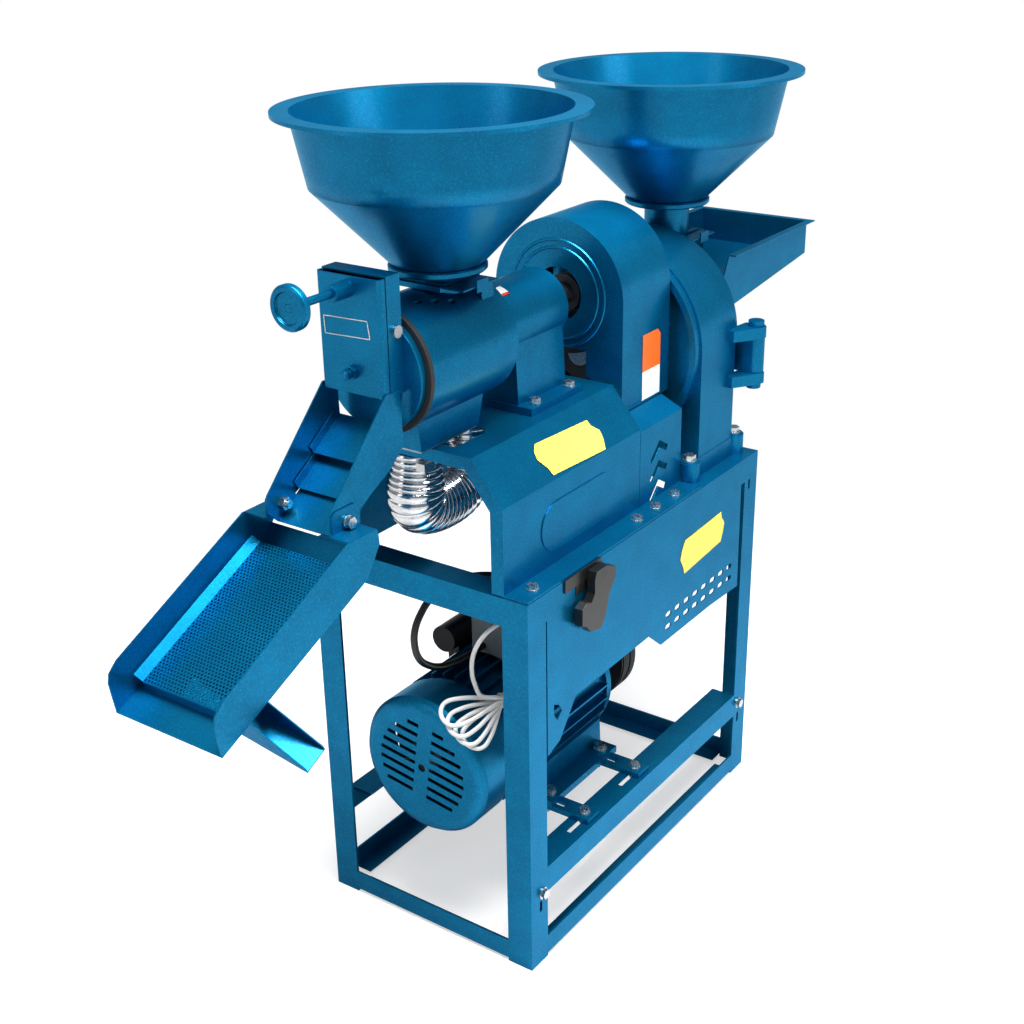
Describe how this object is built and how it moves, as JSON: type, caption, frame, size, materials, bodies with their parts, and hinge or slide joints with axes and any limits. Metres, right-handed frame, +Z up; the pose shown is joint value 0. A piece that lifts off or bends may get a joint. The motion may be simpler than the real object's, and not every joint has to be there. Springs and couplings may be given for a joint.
{
  "type": "rice huller",
  "caption": "Stand-mounted electric rice huller with belt-driven grain crusher, funnel hoppers, stepped outlet chute and tilting sieve tray.",
  "frame": {"origin": "on the floor under the middle of the whole machine's box, in the plane of the shafts", "axes": "+X along the shafts from the huller's outlet to the crusher, -Y the side with panel and switch, +Z up"},
  "size_m": [1.3882, 0.39, 1.153],
  "materials": {
    "blue_enamel": "gloss blue hammertone enamel",
    "zinc_steel": "zinc-plated steel",
    "bright_steel": "ground steel",
    "cast_iron": "machined cast iron",
    "black_rubber": "black rubber",
    "black_plastic": "moulded black plastic",
    "grey_plastic": "grey moulded plastic",
    "white_pvc": "white PVC sheath",
    "duct_metal": "bright corrugated steel strip"
  },
  "bodies": {
    "stand": {"adjusting_bolt": "blue_enamel", "bearing_housing": "blue_enamel", "belt_guard": "blue_enamel", "bran_spigot": "bright_steel", "capacitor": "black_plastic", "chute": "blue_enamel", "conduit": "black_plastic", "cord_hank": "white_pvc", "cord_plug": "white_pvc", "crusher_bearing_housing": "blue_enamel", "crusher_belts": "black_rubber", "crusher_casing": "blue_enamel", "crusher_screen": "bright_steel", "duct_clamp": "zinc_steel", "flap_pin": "bright_steel", "flap_spring": "bright_steel", "frame_posts": "blue_enamel", "frame_rails": "blue_enamel", "guard_base": "blue_enamel", "head_gasket": "black_rubber", "hinge_pin": "blue_enamel", "huller_base": "blue_enamel", "huller_belt": "black_rubber", "huller_drum": "blue_enamel", "huller_hopper": "blue_enamel", "m10_bolts": "zinc_steel", "m8_bolts": "zinc_steel", "motor_bars": "blue_enamel", "motor_body": "blue_enamel", "motor_cowl": "blue_enamel", "outlet_box": "blue_enamel", "outlet_cover": "blue_enamel", "outlet_head": "blue_enamel", "power_cord": "white_pvc", "rice_screen": "bright_steel", "shaft_bearings": "bright_steel", "side_panel": "blue_enamel", "suction_duct": "duct_metal", "switch_body": "black_plastic", "terminal_box": "grey_plastic"},
    "motor_rotor": {"motor_shaft": "bright_steel", "motor_pulley": "cast_iron", "motor_fan": "black_plastic"},
    "huller_rotor": {"huller_shaft": "bright_steel", "huller_roller": "cast_iron", "huller_pulley": "cast_iron"},
    "crusher_rotor_body": {"crusher_shaft": "bright_steel", "crusher_rotor": "cast_iron", "crusher_pulley": "cast_iron"},
    "pressure_wheel": {"pressure_screw": "blue_enamel", "handwheel": "blue_enamel"},
    "flap": {"pressure_flap": "bright_steel"},
    "huller_gate_body": {"huller_gate": "blue_enamel"},
    "door": {"crusher_door": "blue_enamel", "feed_tray": "blue_enamel", "crusher_hopper": "blue_enamel"},
    "crusher_gate_body": {"crusher_gate": "blue_enamel"},
    "lever": {"switch_lever": "black_plastic"},
    "tray": {"sieve_tray": "blue_enamel", "tray_sieve": "blue_enamel"}
  },
  "joints": [
    {"name": "motor_spin", "type": "hinge", "parent": "stand", "child": "motor_rotor", "pos_m": [-0.0139, 0, 0.271], "axis": [1, 0, 0], "continuous": true},
    {"name": "huller_spin", "type": "hinge", "parent": "stand", "child": "huller_rotor", "pos_m": [-0.0539, 0, 0.86], "axis": [1, 0, 0], "continuous": true},
    {"name": "crusher_spin", "type": "hinge", "parent": "stand", "child": "crusher_rotor_body", "pos_m": [0.2461, 0, 0.76], "axis": [1, 0, 0], "continuous": true},
    {"name": "handwheel_turn", "type": "hinge", "parent": "stand", "child": "pressure_wheel", "pos_m": [-0.4039, 0, 0.971], "axis": [1, 0, 0], "range_deg": [0, 1440]},
    {"name": "flap_rock", "type": "hinge", "parent": "stand", "child": "flap", "pos_m": [-0.3259, 0, 0.921], "axis": [0, 1, 0], "range_deg": [0, 8], "deforming": ["flap_spring"]},
    {"name": "huller_gate_slide", "type": "slide", "parent": "stand", "child": "huller_gate_body", "axis": [0, -1, 0], "range_m": [0, 0.055]},
    {"name": "crusher_door_swing", "type": "hinge", "parent": "stand", "child": "door", "pos_m": [0.3601, -0.172, 0.735], "axis": [0, 0, 1], "range_deg": [-100, 0]},
    {"name": "crusher_gate_slide", "type": "slide", "parent": "door", "child": "crusher_gate_body", "axis": [0, -1, 0], "range_m": [0, 0.055]},
    {"name": "switch_turn", "type": "hinge", "parent": "stand", "child": "lever", "pos_m": [-0.0999, -0.186, 0.556], "axis": [0, 1, 0], "range_deg": [0, 60]},
    {"name": "tray_tilt", "type": "hinge", "parent": "stand", "child": "tray", "pos_m": [-0.4349, 0, 0.7226], "axis": [0, 1, 0], "range_deg": [-8, 14]}
  ],
  "couplings": [
    {"joint": "motor_spin", "follows": "huller_spin", "ratio": 1.6},
    {"joint": "crusher_spin", "follows": "huller_spin", "ratio": 3.3684},
    {"joint": "flap_rock", "follows": "handwheel_turn", "ratio": 0.005556}
  ]
}
